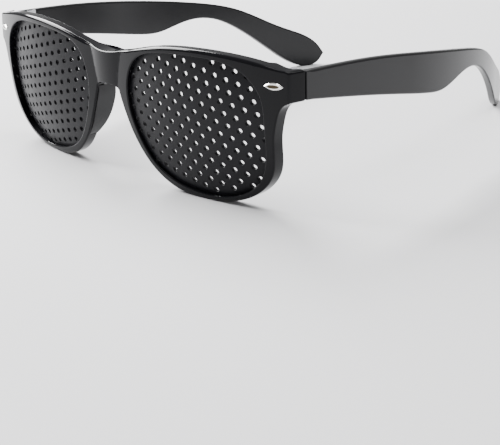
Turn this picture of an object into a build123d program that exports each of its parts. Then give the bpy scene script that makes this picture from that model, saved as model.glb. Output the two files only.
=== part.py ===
from build123d import *
import os
from math import cos, radians, sin, sqrt, tan

# Pinhole glasses: a one-piece front with two holed plates in place of lenses,
# and two folding temples on screwed five-knuckle hinges.
# Millimetres. +Z up, +X the wearer's left, the front faces -Y, temples open.
# The origin is under the middle of the whole, on the surface that the two rim
# bottoms and the two temple ends stand on.

# lens openings and rims
LENS_W = 53.6          # opening, across
LENS_H = 44.8          # opening, high
LENS_GAP = 20.0        # between the two openings
RIM_SIDE = 2.8         # rim beside the opening, at the temple side
RIM_TOP = 2.1          # rim above and below the opening
RIM_DEPTH = 4.2        # rim, front to back

# front face: one sphere for each side
FACE_R = 143.0
FACE_X_SHARE = 0.54    # where the face comes nearest to the front, of the lens centre
FACE_Z_SHARE = 1.52    # the same, of the height of the lens centre

# bridge
BRIDGE_TOP = 43.3      # middle of the top edge above the ground
BRIDGE_ARCH = 32.1     # middle of the arch above the ground
BRIDGE_HALF = 7.6      # half width of the bulging panel at its top
BRIDGE_R = 25.0        # roundness of the panel
BRIDGE_PROUD = 0.5     # top of the panel ahead of the rims
BRIDGE_LEAN = 4.1      # degrees that the panel leans forward
BRIDGE_DEPTH = 3.0     # panel block behind the foremost face

# end pieces that carry the hinges
END_REACH = 7.9        # from the opening to the front corner
END_TOP = 45.4         # top of the end piece above the ground
END_H = 9.0            # height of the end piece
END_DEPTH = 6.1        # outer side, from the front corner to the hinge gap
END_FLARE = 13.5       # degrees that the outer side flares
BROW_FALL = 0.12       # slope of the top edge where it ends
END_SHOULDER = 1.0     # thick part below the end piece
END_WALL = 2.8         # outer wall beside the hinge
END_PAD = 3.4          # thickness that carries the hinge leaf, behind the face
END_PAD_W = 6.4        # width of that thickness inward from the wall

# pinhole plates
PLATE_R = 95.0         # outer face
PLATE_T = 1.2
PLATE_SET = 0.82       # outer face behind the foremost face of the rim
PLATE_X_SHARE = 0.66   # foremost point of the plate, of the lens centre
PLATE_Z_SHARE = 1.35
GROOVE = 0.8           # depth of the groove that holds the plate
PLATE_CLEAR = 0.05
HOLE_D = 1.7
HOLE_PITCH = 3.98
HOLE_TURN = 14.8       # degrees that the rows fall towards the temple
LEFT_PHASE_SHARES = (-0.407, 5.13)     # one hole's centre from the lens centre,
RIGHT_PHASE_SHARES = (-1.83, 3.385)   # in pitches
HOLE_EDGE = 0.35       # least distance from a hole's centre to the rim

# nose pads
PAD_LIP = 0.8          # rim ahead of the pad
PAD_T = 1.2            # pad in the thickness of the rim
PAD_PROUD = 0.3        # pad stands out from the rim
PAD_BACK = 9.7         # deepest point behind the foremost face
PAD_BACK_TOP = 1.4     # less deep than that at its top
PAD_BACK_LOW = 2.9     # and at its bottom

# hinge
HINGE_IN = 5.15        # pin inside the outer face of the end piece
HINGE_GAP = 0.4        # between the end piece and the temple
PIN_BACK = 0.5         # pin behind the end piece
KNUCKLE_D = 3.0
KNUCKLE_H = 1.35
KNUCKLE_GAP = 0.1
KNUCKLES = 5
LEAF_T = 0.8
LEAF_CLEAR = 0.05
FRONT_LEAF_W = 5.6
TEMPLE_LEAF_L = 7.0
TEMPLE_LEAF_SET = 1.1  # from the temple's end to its leaf
PIN_D = 1.4
PIN_CLEAR = 0.05
PIN_HEAD_D = 2.4
PIN_HEAD_H = 0.6
PIN_SLOT = 0.4
PIN_SLOT_DEPTH = 0.3

# almond rivets
RIVET_L = 6.2
RIVET_H = 2.3
RIVET_PROUD = 0.35
RIVET_SEAT = 0.35      # sunk into the face
RIVET_BEVEL = 0.25
RIVET_IN = 4.3         # centre, from the front corner
RIVET_DOWN = 4.4       # centre, from the top of the end piece
RIVET_CLEAR = 0.03
RIVET_SLOT_SHARE = 0.62
RIVET_SLOT_H_SHARE = 0.44
RIVET_SLOT_DEPTH = 0.3
RIVET_PIN_D = 1.0
RIVET_PIN_L = 2.2
RIVET_PIN_GAP = 2.6    # between the two pins

# temples
TEMPLE_L = 148.15      # along Y
TEMPLE_T = 2.8
TEMPLE_FLARE = 1.2     # degrees outward, up to the bend
TEMPLE_BEND_R = 174.0  # middle of the thickness
TEMPLE_TURN = 26.4     # degrees of the whole bend
TEMPLE_BEND_SHARE = 0.34
TEMPLE_EDGE_R = 0.4
TEMPLE_DROP = 0.4      # top of the temple below the top of the end piece

OVER = 5.0             # overrun of cuts and trims

# the opening and the rim, as shares of half their width and half their height
OPENING_SHARES = [
    (1.0, 0.15), (0.955, 0.587), (0.73, 0.874), (0.2, 0.995), (-0.4, 0.965),
    (-0.836, 0.79), (-0.995, 0.33), (-0.896, -0.233), (-0.604, -0.749),
    (-0.04, -0.998), (0.5, -0.95), (0.877, -0.65), (0.99, -0.26),
]
BROW_SHARES = [(-0.98, 0.807), (-0.483, 0.943), (0.078, 1.002), (0.554, 0.98), (0.858, 0.928)]
UNDER_SHARES = [(1.12, 0.44), (1.04, 0.24), (1.0, -0.02), (0.96, -0.447), (0.716, -0.803), (0.382, -0.963)]
FLANK_SHARES = [(-0.297, -0.959), (-0.601, -0.758), (-0.821, -0.434), (-0.973, -0.05), (-1.04, 0.168)]
ARCH_SHARES = [(-1.068, 0.262), (-1.036, 0.315)]
PAD_SHARES = [(-0.76, -0.545), (-0.905, -0.25), (-0.973, -0.05), (-1.035, 0.15), (-1.055, 0.235)]
PAD_PROUD_SHARES = (0, 1, 1, 1, 0.4)
PAD_T_SHARES = (0.5, 1, 1, 1, 0.9)

# the temple's side, as shares of its length and of its height above the ground
TEMPLE_TOP_SHARES = [
    (0.0, 1.0), (0.2015, 0.962), (0.4047, 0.882), (0.6073, 0.773), (0.7435, 0.653),
    (0.8805, 0.42), (0.977, 0.233), (1.0, 0.12), (0.9765, 0.022), (0.945, 0.0),
]
TEMPLE_UNDER_SHARES = [
    (0.945, 0.0), (0.9123, 0.033), (0.8461, 0.191), (0.7435, 0.458), (0.675, 0.578),
    (0.6073, 0.618), (0.54, 0.589), (0.4722, 0.547), (0.4047, 0.567), (0.3034, 0.631),
    (0.1, 0.751), (0.0, 0.804),
]

# places that follow from the sizes
lens_x = LENS_GAP / 2 + LENS_W / 2
lens_z = LENS_H / 2 + RIM_TOP
rim_half_w = LENS_W / 2 + RIM_SIDE
rim_half_h = LENS_H / 2 + RIM_TOP
face_x = lens_x * FACE_X_SHARE
face_z = lens_z * FACE_Z_SHARE
corner_x = lens_x + LENS_W / 2 + END_REACH
corner_y = FACE_R - sqrt(FACE_R**2 - (corner_x - face_x) ** 2)
end_back = corner_y + END_DEPTH
side_x = corner_x + END_DEPTH * tan(radians(END_FLARE))
wall_x = side_x - END_WALL
end_z = END_TOP - END_H
end_mid = END_TOP - END_H / 2
hinge_x = side_x - HINGE_IN
hinge_y = end_back + PIN_BACK
leaf_y = end_back - END_DEPTH + END_PAD
leaf_in_x = wall_x - END_PAD_W
temple_y = end_back + HINGE_GAP
temple_z = END_TOP - TEMPLE_DROP
tip_y = temple_y + TEMPLE_L
leaf_start = temple_y + TEMPLE_LEAF_SET
leaf_h = KNUCKLES * KNUCKLE_H + (KNUCKLES - 1) * KNUCKLE_GAP
leaf_z = end_mid - leaf_h / 2
knuckle_r = KNUCKLE_D / 2
middle_y = (tip_y - BRIDGE_PROUD) / 2

# y is measured from the foremost point of the rims; the planes bring in the origin
FRONT = Plane(origin=(0, -middle_y, 0), x_dir=(1, 0, 0), z_dir=(0, -1, 0))
SIDE = Plane(origin=(0, -middle_y, 0), x_dir=(0, 1, 0), z_dir=(1, 0, 0))
PLAN = Plane(origin=(0, -middle_y, 0), x_dir=(1, 0, 0), z_dir=(0, 0, 1))
lean = radians(BRIDGE_LEAN)
bridge_plane = Plane(
    origin=(0, -middle_y - BRIDGE_PROUD, BRIDGE_TOP), x_dir=(1, 0, 0), z_dir=(0, -sin(lean), cos(lean))
)


def place(x, y, z):
    """A point, with y measured from the foremost point of the rims."""
    return (x, y - middle_y, z)


def rim_point(share):
    return (lens_x + share[0] * rim_half_w, lens_z + share[1] * rim_half_h)


def opening_points(grow):
    """The opening's outline, grown by a margin."""
    return [
        (lens_x + u * (LENS_W / 2 + grow), lens_z + v * (LENS_H / 2 + grow))
        for u, v in OPENING_SHARES
    ]


face_centre = place(face_x, FACE_R, face_z)
plate_x = lens_x * PLATE_X_SHARE
plate_z = lens_z * PLATE_Z_SHARE
plate_centre = place(plate_x, PLATE_SET + PLATE_R, plate_z)


def on_plate(x, z):
    """The point of the plate's outer face at x and z."""
    return place(x, PLATE_SET + PLATE_R - sqrt(PLATE_R**2 - (x - plate_x) ** 2 - (z - plate_z) ** 2), z)


# the holes run along the plate's own axis, square to its middle
plate_out = Vector(*on_plate(lens_x, lens_z)) - Vector(*plate_centre)
hole_plane = Plane(
    origin=on_plate(lens_x, lens_z), x_dir=Vector(0, 0, 1).cross(plate_out), z_dir=plate_out
)

brow = [(0, BRIDGE_TOP)] + [rim_point(s) for s in BROW_SHARES] + [(side_x, END_TOP)]
under = [(side_x, end_z)] + [rim_point(s) for s in UNDER_SHARES]
flank = [rim_point(s) for s in FLANK_SHARES]
arch = [rim_point(s) for s in ARCH_SHARES]
pad_line = [rim_point(s) for s in PAD_SHARES]
pad_nose = [(x - PAD_PROUD * share, z) for (x, z), share in zip(pad_line, PAD_PROUD_SHARES)]
pad_seat = [(x + PAD_T * share, z) for (x, z), share in zip(pad_line, PAD_T_SHARES)]

rivet_x = corner_x - RIVET_IN
rivet_z = END_TOP - RIVET_DOWN
rivet_y = FACE_R - sqrt(FACE_R**2 - (rivet_x - face_x) ** 2 - (rivet_z - face_z) ** 2)
rivet_out = Vector(*place(rivet_x, rivet_y, rivet_z)) - Vector(*face_centre)
rivet_plane = Plane(
    origin=place(rivet_x, rivet_y, rivet_z), x_dir=Vector(0, 0, 1).cross(rivet_out), z_dir=rivet_out
)


def front_outline():
    """Half of the front's outline, from the middle plane to the left end piece."""
    with BuildLine() as outline:
        Spline(*brow, tangents=[(1, 0), (1, -BROW_FALL)])
        Line(brow[-1], under[0])
        Spline(*under, (lens_x, 0), *flank)
        Bezier(flank[-1], arch[0], (arch[1][0], BRIDGE_ARCH), (0, BRIDGE_ARCH))
        Line((0, BRIDGE_ARCH), (0, BRIDGE_TOP))
    return outline.line


# half of the front, from the middle plane to the left end piece
with BuildPart() as half_front:
    with BuildSketch(FRONT.offset(OVER)):
        add(front_outline())
        make_face()
    extrude(amount=-(end_back + OVER))
    with BuildSketch(PLAN):
        with BuildLine():
            Polyline(
                (0, -OVER),
                (corner_x - (corner_y + OVER) * tan(radians(END_FLARE)), -OVER),
                (side_x, end_back),
                (0, end_back),
                close=True,
            )
        make_face()
    extrude(amount=END_TOP + OVER, mode=Mode.INTERSECT)
    with Locations(face_centre):
        Sphere(FACE_R, mode=Mode.INTERSECT)

# the thick end of the front, which carries the hinge
with BuildPart() as end_block:
    with BuildSketch(PLAN.offset(end_z - END_SHOULDER)):
        with BuildLine():
            Polyline(
                (leaf_in_x - END_PAD, 0),
                (side_x + OVER, 0),
                (side_x + OVER, end_back),
                (wall_x, end_back),
                (wall_x, leaf_y),
                (leaf_in_x, leaf_y),
                close=True,
            )
        make_face()
    extrude(amount=END_H + 2 * OVER)
    add(half_front.part, mode=Mode.INTERSECT)

# the bulging panel of the bridge, a leaning cylinder that the rims run into
with BuildPart() as bridge_panel:
    with BuildSketch(FRONT.offset(OVER)):
        add(front_outline())
        make_face()
        with Locations((0, END_TOP)):
            Rectangle(2 * BRIDGE_HALF, 2 * END_TOP, mode=Mode.INTERSECT)
    extrude(amount=-(OVER + BRIDGE_DEPTH))
    with BuildSketch(bridge_plane):
        with Locations((0, BRIDGE_R)):
            Circle(BRIDGE_R)
    extrude(amount=END_TOP, both=True, mode=Mode.INTERSECT)

with BuildPart() as groove:
    with BuildSketch(FRONT.offset(OVER)):
        with BuildLine():
            Spline(*opening_points(GROOVE + PLATE_CLEAR), periodic=True)
        make_face()
    extrude(amount=-(end_back + 2 * OVER))
    with Locations(plate_centre):
        Sphere(PLATE_R + PLATE_CLEAR, mode=Mode.INTERSECT)
        Sphere(PLATE_R - PLATE_T - PLATE_CLEAR, mode=Mode.SUBTRACT)

# a nose pad, let into the nasal side of the left rim behind its front lip
with BuildPart() as left_nose_pad:
    with BuildSketch(FRONT):
        with BuildLine():
            Spline(*pad_nose)
            Line(pad_nose[-1], pad_seat[-1])
            Spline(*reversed(pad_seat))
            Line(pad_seat[0], pad_nose[0])
        make_face()
    extrude(amount=-(PAD_BACK + OVER))
    with BuildSketch(SIDE):
        low, high = pad_line[0][1], pad_line[-1][1]
        with BuildLine():
            ThreePointArc(
                (PAD_BACK - PAD_BACK_LOW, low), (PAD_BACK, (low + high) / 2), (PAD_BACK - PAD_BACK_TOP, high)
            )
            Line((PAD_BACK - PAD_BACK_TOP, high), (0, high))
            Line((0, high), (0, low))
            Line((0, low), (PAD_BACK - PAD_BACK_LOW, low))
        make_face()
    extrude(amount=lens_x, mode=Mode.INTERSECT)
    with Locations(face_centre):
        Sphere(FACE_R - PAD_LIP, mode=Mode.INTERSECT)


def almond(length, height):
    with BuildSketch(rivet_plane) as outline:
        with BuildLine():
            ThreePointArc((-length / 2, 0), (0, height / 2), (length / 2, 0))
            ThreePointArc((length / 2, 0), (0, -height / 2), (-length / 2, 0))
        make_face()
    return outline.sketch


rivet_pins = [(-RIVET_PIN_GAP / 2, 0), (RIVET_PIN_GAP / 2, 0)]

# an almond rivet with a raised bevelled rim round a sunk slot, on two pins
with BuildPart() as left_rivet:
    extrude(almond(RIVET_L, RIVET_H), amount=RIVET_PROUD)
    chamfer(left_rivet.faces().sort_by(Axis.Y)[0].edges(), RIVET_BEVEL)
    extrude(almond(RIVET_L, RIVET_H), amount=-RIVET_SEAT)
    with BuildSketch(rivet_plane.offset(RIVET_PROUD)):
        add(almond(RIVET_L * RIVET_SLOT_SHARE, RIVET_H * RIVET_SLOT_H_SHARE))
    extrude(amount=-RIVET_SLOT_DEPTH, mode=Mode.SUBTRACT)
    with BuildSketch(rivet_plane):
        with Locations(*rivet_pins):
            Circle(RIVET_PIN_D / 2)
    extrude(amount=-(RIVET_SEAT + RIVET_PIN_L))

# the seat and the two holes that the rivet needs in the front
with BuildPart() as rivet_cut:
    extrude(almond(RIVET_L + 2 * RIVET_CLEAR, RIVET_H + 2 * RIVET_CLEAR), amount=-RIVET_SEAT)
    extrude(almond(RIVET_L + 2 * RIVET_CLEAR, RIVET_H + 2 * RIVET_CLEAR), amount=RIVET_PROUD)
    with BuildSketch(rivet_plane):
        with Locations(*rivet_pins):
            Circle(RIVET_PIN_D / 2 + RIVET_CLEAR)
    extrude(amount=-(RIVET_SEAT + RIVET_PIN_L + RIVET_CLEAR))

# hinge leaf let into the back of the end piece, with the odd knuckles
with BuildPart() as left_front_hinge:
    with BuildSketch(PLAN.offset(leaf_z)):
        with Locations((wall_x - LEAF_CLEAR, leaf_y)):
            Rectangle(FRONT_LEAF_W, LEAF_T, align=(Align.MAX, Align.MAX))
    extrude(amount=leaf_h)
    for k in range(0, KNUCKLES, 2):
        with BuildSketch(PLAN.offset(leaf_z + k * (KNUCKLE_H + KNUCKLE_GAP))):
            with Locations((hinge_x, hinge_y)):
                Circle(knuckle_r)
                Rectangle(KNUCKLE_D, hinge_y - leaf_y + LEAF_T, align=(Align.CENTER, Align.MAX))
        extrude(amount=KNUCKLE_H)
    with BuildSketch(PLAN.offset(leaf_z)):
        with Locations((hinge_x, hinge_y)):
            Circle(PIN_D / 2 + PIN_CLEAR)
    extrude(amount=leaf_h, mode=Mode.SUBTRACT)

with BuildPart() as leaf_cut:
    with BuildSketch(PLAN.offset(leaf_z - LEAF_CLEAR)):
        with Locations((wall_x, leaf_y + OVER)):
            Rectangle(
                FRONT_LEAF_W + 2 * LEAF_CLEAR, LEAF_T + LEAF_CLEAR + OVER, align=(Align.MAX, Align.MAX)
            )
    extrude(amount=leaf_h + 2 * LEAF_CLEAR)

# hinge leaf let into the temple, with the even knuckles on arms
with BuildPart() as left_temple_hinge:
    with BuildSketch(PLAN.offset(leaf_z)):
        with Locations((wall_x, leaf_start)):
            Rectangle(LEAF_T, TEMPLE_LEAF_L, align=(Align.MIN, Align.MIN))
    extrude(amount=leaf_h)
    for k in range(1, KNUCKLES, 2):
        with BuildSketch(PLAN.offset(leaf_z + k * (KNUCKLE_H + KNUCKLE_GAP))):
            with Locations((hinge_x, hinge_y)):
                Circle(knuckle_r)
            with BuildLine():
                Polyline(
                    (hinge_x, hinge_y),
                    (hinge_x + knuckle_r, hinge_y),
                    (wall_x, leaf_start),
                    (wall_x + LEAF_T, leaf_start + LEAF_T),
                    (wall_x + LEAF_T, leaf_start + KNUCKLE_D),
                    (wall_x, leaf_start + KNUCKLE_D),
                    (hinge_x, hinge_y + knuckle_r),
                    close=True,
                )
            make_face()
        extrude(amount=KNUCKLE_H)
    with BuildSketch(PLAN.offset(leaf_z)):
        with Locations((hinge_x, hinge_y)):
            Circle(PIN_D / 2 + PIN_CLEAR)
    extrude(amount=leaf_h, mode=Mode.SUBTRACT)

# slotted screw that is the hinge pin
with BuildPart() as left_hinge_screw:
    with BuildSketch(PLAN.offset(leaf_z)):
        with Locations((hinge_x, hinge_y)):
            Circle(PIN_D / 2)
    extrude(amount=leaf_h)
    with BuildSketch(PLAN.offset(leaf_z + leaf_h)):
        with Locations((hinge_x, hinge_y)):
            Circle(PIN_HEAD_D / 2)
    extrude(amount=PIN_HEAD_H)
    with BuildSketch(PLAN.offset(leaf_z + leaf_h + PIN_HEAD_H)):
        with Locations((hinge_x, hinge_y)):
            Rectangle(PIN_HEAD_D + OVER, PIN_SLOT)
    extrude(amount=-PIN_SLOT_DEPTH, mode=Mode.SUBTRACT)


def temple_path(shift):
    """The temple's plan line, shifted outward from the middle of its thickness."""
    flare = radians(TEMPLE_FLARE)
    with BuildLine() as path:
        straight = Line(
            (wall_x + TEMPLE_T / 2 + shift, temple_y),
            (
                wall_x + TEMPLE_T / 2 + shift + TEMPLE_L * TEMPLE_BEND_SHARE * tan(flare),
                temple_y + TEMPLE_L * TEMPLE_BEND_SHARE,
            ),
        )
        bend = JernArc(straight @ 1, straight % 1, TEMPLE_BEND_R + shift, TEMPLE_TURN)
        PolarLine(bend @ 1, TEMPLE_L, direction=bend % 1)
    return path


end_plane = temple_y - middle_y
with BuildPart() as left_temple:
    outer = temple_path(TEMPLE_T / 2)
    inner = temple_path(-TEMPLE_T / 2)
    with BuildSketch(PLAN.offset(-OVER)):
        with BuildLine():
            add(outer.line)
            add(inner.line)
            Line(outer.line @ 0, inner.line @ 0)
            Line(outer.line @ 1, inner.line @ 1)
        make_face()
    extrude(amount=END_TOP + 2 * OVER)
    with BuildSketch(SIDE):
        with BuildLine():
            top = [(temple_y + u * TEMPLE_L, v * temple_z) for u, v in TEMPLE_TOP_SHARES]
            low = [(temple_y + u * TEMPLE_L, v * temple_z) for u, v in TEMPLE_UNDER_SHARES]
            Spline(*top[:-2])
            Spline(*top[-3:], low[1], low[2])
            Spline(*low[2:])
            Line(low[-1], top[0])
        make_face()
    extrude(amount=side_x + TEMPLE_L, mode=Mode.INTERSECT)
    long_edges = [
        e for e in left_temple.edges()
        if e.length > TEMPLE_T * 2 and abs(e.center().Y - end_plane) > TEMPLE_EDGE_R
    ]
    fillet(long_edges, TEMPLE_EDGE_R)
    with BuildSketch(PLAN.offset(leaf_z - LEAF_CLEAR)):
        with Locations((wall_x - OVER, leaf_start - LEAF_CLEAR)):
            Rectangle(
                OVER + LEAF_T + LEAF_CLEAR, TEMPLE_LEAF_L + 2 * LEAF_CLEAR, align=(Align.MIN, Align.MIN)
            )
    extrude(amount=leaf_h + 2 * LEAF_CLEAR, mode=Mode.SUBTRACT)

with BuildPart() as half_frame:
    add(half_front.part)
    with Locations(face_centre):
        Sphere(FACE_R - RIM_DEPTH, mode=Mode.SUBTRACT)
    add(end_block.part)
    add(bridge_panel.part)
    with BuildSketch(FRONT.offset(OVER)):
        with BuildLine():
            Spline(*opening_points(0), periodic=True)
        make_face()
    extrude(amount=-(end_back + 2 * OVER), mode=Mode.SUBTRACT)
    add(groove.part, mode=Mode.SUBTRACT)
    add(left_nose_pad.part, mode=Mode.SUBTRACT)
    add(leaf_cut.part, mode=Mode.SUBTRACT)
    add(rivet_cut.part, mode=Mode.SUBTRACT)

with BuildPart() as front_frame:
    add(half_frame.part)
    mirror(about=Plane.YZ)

# where a hole's centre may lie
with BuildSketch() as hole_field:
    with BuildLine():
        Spline(*opening_points(-HOLE_EDGE), periodic=True)
    make_face()


def hole_centres(phase):
    """Centres of a hexagonal pattern of holes inside the opening."""
    reach = int(LENS_W / HOLE_PITCH) + 1
    turn = radians(HOLE_TURN)
    found = []
    for i in range(-reach, reach + 1):
        for j in range(-reach, reach + 1):
            along, down = i + j / 2, j * sqrt(3) / 2
            x = lens_x + HOLE_PITCH * (phase[0] + along * cos(turn) - down * sin(turn))
            z = lens_z + HOLE_PITCH * (phase[1] - along * sin(turn) - down * cos(turn))
            if hole_field.face().is_inside(Vector(x, z)):
                across = hole_plane.to_local_coords(Vector(*on_plate(x, z)))
                found.append((across.X, across.Y))
    return found


with BuildPart() as plate_blank:
    with BuildSketch(FRONT.offset(OVER)):
        with BuildLine():
            Spline(*opening_points(GROOVE), periodic=True)
        make_face()
    extrude(amount=-(end_back + 2 * OVER))
    with Locations(plate_centre):
        Sphere(PLATE_R, mode=Mode.INTERSECT)
        Sphere(PLATE_R - PLATE_T, mode=Mode.SUBTRACT)

left_holes = hole_centres(LEFT_PHASE_SHARES)
right_holes = hole_centres(RIGHT_PHASE_SHARES)
print("holes", len(left_holes), len(right_holes))

with BuildPart() as left_pinhole_plate:
    add(plate_blank.part)
    with BuildSketch(hole_plane):
        with Locations(*left_holes):
            Circle(HOLE_D / 2)
    extrude(amount=end_back, both=True, mode=Mode.SUBTRACT)

with BuildPart() as right_pinhole_plate:
    add(plate_blank.part)
    with BuildSketch(hole_plane):
        with Locations(*right_holes):
            Circle(HOLE_D / 2)
    extrude(amount=end_back, both=True, mode=Mode.SUBTRACT)
    mirror(about=Plane.YZ, mode=Mode.REPLACE)

with BuildPart() as right_nose_pad:
    mirror(left_nose_pad.part, about=Plane.YZ)
with BuildPart() as right_rivet:
    mirror(left_rivet.part, about=Plane.YZ)
with BuildPart() as right_front_hinge:
    mirror(left_front_hinge.part, about=Plane.YZ)
with BuildPart() as right_temple_hinge:
    mirror(left_temple_hinge.part, about=Plane.YZ)
with BuildPart() as right_hinge_screw:
    mirror(left_hinge_screw.part, about=Plane.YZ)
with BuildPart() as right_temple:
    mirror(left_temple.part, about=Plane.YZ)

pieces = {
    "front_frame": front_frame,
    "left_pinhole_plate": left_pinhole_plate,
    "right_pinhole_plate": right_pinhole_plate,
    "left_nose_pad": left_nose_pad,
    "right_nose_pad": right_nose_pad,
    "left_rivet": left_rivet,
    "right_rivet": right_rivet,
    "left_front_hinge": left_front_hinge,
    "right_front_hinge": right_front_hinge,
    "left_temple_hinge": left_temple_hinge,
    "right_temple_hinge": right_temple_hinge,
    "left_hinge_screw": left_hinge_screw,
    "right_hinge_screw": right_hinge_screw,
    "left_temple": left_temple,
    "right_temple": right_temple,
}
os.makedirs("parts", exist_ok=True)
for name, piece in pieces.items():
    piece.part.label = name
    export_step(piece.part, f"parts/{name}.step")
    print(name, len(piece.part.solids()), round(piece.part.volume, 1))
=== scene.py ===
from math import atan, cos, hypot, pi, radians, sin, sqrt, tan

import bmesh
import bpy
import numpy as np
from mathutils import Matrix, Vector
from mathutils.kdtree import KDTree


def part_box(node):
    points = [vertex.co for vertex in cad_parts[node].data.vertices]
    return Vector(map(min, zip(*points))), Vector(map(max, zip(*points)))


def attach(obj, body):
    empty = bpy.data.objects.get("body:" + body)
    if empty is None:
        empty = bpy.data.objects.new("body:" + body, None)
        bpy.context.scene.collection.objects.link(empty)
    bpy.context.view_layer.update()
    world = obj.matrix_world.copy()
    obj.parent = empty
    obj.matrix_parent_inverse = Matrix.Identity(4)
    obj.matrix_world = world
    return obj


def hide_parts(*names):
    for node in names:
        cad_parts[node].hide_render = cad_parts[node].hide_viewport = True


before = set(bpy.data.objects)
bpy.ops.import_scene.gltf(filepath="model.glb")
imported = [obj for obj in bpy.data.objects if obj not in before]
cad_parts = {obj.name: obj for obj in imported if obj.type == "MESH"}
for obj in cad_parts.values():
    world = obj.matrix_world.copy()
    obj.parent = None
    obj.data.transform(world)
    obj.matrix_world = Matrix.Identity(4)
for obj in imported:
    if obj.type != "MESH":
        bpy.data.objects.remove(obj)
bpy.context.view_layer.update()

MM = 0.001

# sizes of the model that the visible pieces follow, in millimetres
LENS_W, LENS_H, LENS_GAP = 53.6, 44.8, 20.0
RIM_SIDE, RIM_TOP, RIM_DEPTH = 2.8, 2.1, 4.2
FACE_R, FACE_X_SHARE, FACE_Z_SHARE = 143.0, 0.54, 1.52
BRIDGE_TOP, BRIDGE_ARCH = 43.3, 32.1
BRIDGE_R, BRIDGE_PROUD, BRIDGE_LEAN = 25.0, 0.5, 4.1
END_REACH, END_TOP, END_H, END_DEPTH = 7.9, 45.4, 9.0, 6.1
END_FLARE, END_WALL, END_PAD, END_PAD_W, END_SHOULDER = 13.5, 2.8, 3.4, 6.4, 1.0
PLATE_R, PLATE_T, PLATE_SET = 95.0, 1.2, 0.82
PLATE_X_SHARE, PLATE_Z_SHARE = 0.66, 1.35
GROOVE, PLATE_CLEAR = 0.8, 0.05
HOLE_D, HOLE_PITCH, HOLE_TURN, HOLE_EDGE = 1.7, 3.98, 14.8, 0.35
LEFT_PHASE_SHARES, RIGHT_PHASE_SHARES = (-0.407, 5.13), (-1.83, 3.385)
PAD_LIP, PAD_T = 0.8, 1.2
HINGE_GAP = 0.4
KNUCKLE_H, KNUCKLE_GAP, KNUCKLES = 1.35, 0.1, 5
LEAF_T, LEAF_CLEAR, FRONT_LEAF_W = 0.8, 0.05, 5.6
TEMPLE_LEAF_L, TEMPLE_LEAF_SET = 7.0, 1.1
RIVET_L, RIVET_H = 6.2, 2.3
TEMPLE_L, TEMPLE_T, TEMPLE_FLARE, TEMPLE_BEND_R = 148.15, 2.8, 1.2, 174.0
TEMPLE_TURN, TEMPLE_BEND_SHARE, TEMPLE_DROP = 26.4, 0.34, 0.4

# the opening, as shares of its half width and half height
OPENING_SHARES = [
    (1.0, 0.15), (0.955, 0.587), (0.73, 0.874), (0.2, 0.995), (-0.4, 0.965),
    (-0.836, 0.79), (-0.995, 0.33), (-0.896, -0.233), (-0.604, -0.749),
    (-0.04, -0.998), (0.5, -0.95), (0.877, -0.65), (0.99, -0.26),
]

# the brow, the under side, the flank, the arch and the pads, as shares of the rim's
# half width and half height
BROW_SHARES = [(-0.98, 0.807), (-0.483, 0.943), (0.078, 1.002), (0.554, 0.98), (0.858, 0.928)]
UNDER_SHARES = [
    (1.12, 0.44), (1.04, 0.24), (1.0, -0.02), (0.96, -0.447), (0.716, -0.803), (0.382, -0.963),
]
FLANK_SHARES = [
    (-0.297, -0.959), (-0.601, -0.758), (-0.821, -0.434), (-0.973, -0.05), (-1.04, 0.168),
]
ARCH_SHARES = [(-1.068, 0.262), (-1.036, 0.315)]
PAD_SHARES = [(-0.76, -0.545), (-0.905, -0.25), (-0.973, -0.05), (-1.035, 0.15), (-1.055, 0.235)]
PAD_T_SHARES = (0.5, 1, 1, 1, 0.9)   # of the pads' thickness, from the foot up

# the temple's side, as shares of its length and of its height above the ground
TEMPLE_TOP_SHARES = [
    (0.0, 1.0), (0.2015, 0.962), (0.4047, 0.882), (0.6073, 0.773), (0.7435, 0.653),
    (0.8805, 0.42), (0.977, 0.233), (1.0, 0.12), (0.9765, 0.022), (0.945, 0.0),
]
TEMPLE_UNDER_SHARES = [
    (0.945, 0.0), (0.9123, 0.033), (0.8461, 0.191), (0.7435, 0.458), (0.675, 0.578),
    (0.6073, 0.618), (0.54, 0.589), (0.4722, 0.547), (0.4047, 0.567), (0.3034, 0.631),
    (0.1, 0.751), (0.0, 0.804),
]

# roundings of the visible pieces, in millimetres
EDGE, BROW_EDGE, REAR_EDGE = 0.5, 0.95, 0.45
TEMPLE_EDGE, TEMPLE_END_EDGE, TEMPLE_END_SOFT, END_FLAT = 0.75, 0.2, 3, 0.05
HOLE_EDGE_R = 0.1
END_CORNER_R, TEMPLE_CORNER_R = 0.8, 0.4

# the outline ends at the front corner, a little inside the flared side, where the top edge
# is still higher than END_TOP, the under edge is lower, and the top edge falls outward
END_TOP_RISE, END_LOW_DROP, BROW_FALL = 0.1, 0.25, 0.12

# the brow's wider rounding: its start from the middle and its stop from the corner, with the
# length of each fade, and how far down from END_TOP it reaches
BROW_START, BROW_FADE_IN, BROW_STOP, BROW_FADE_OUT = 7.2, 3.5, 1.5, 9
BROW_REACH_DOWN = 2.2
PAD_LIP_CLEAR = 0.3

# how finely outlines and skins are cut
STEP, HOLE_FIELD_STEP = 0.7, 0.4
CORNER_POINTS, ARCH_POINTS, SIDE_POINTS, TEMPLE_END_POINTS = 6, 12, 14, 12
HOLE_SIDES = 24
BRIDGE_CUT_START, BRIDGE_CUT_STEP = 0.5, 1.2
LEVEL_CUT_START, LEVEL_CUT_STEP = 4, 3.3
UPRIGHT_CUT_START, UPRIGHT_CUT_STEP = 15.5, 4.1
TEMPLE_CUT_START, TEMPLE_CUT_STEP = 2, 2.0
RAMP_CUT_SHARE = 0.24        # of the end piece's ramp
HAIR, NEAR_BY = 0.03, 1      # to each side of a step, and how far past it faces still count

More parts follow.
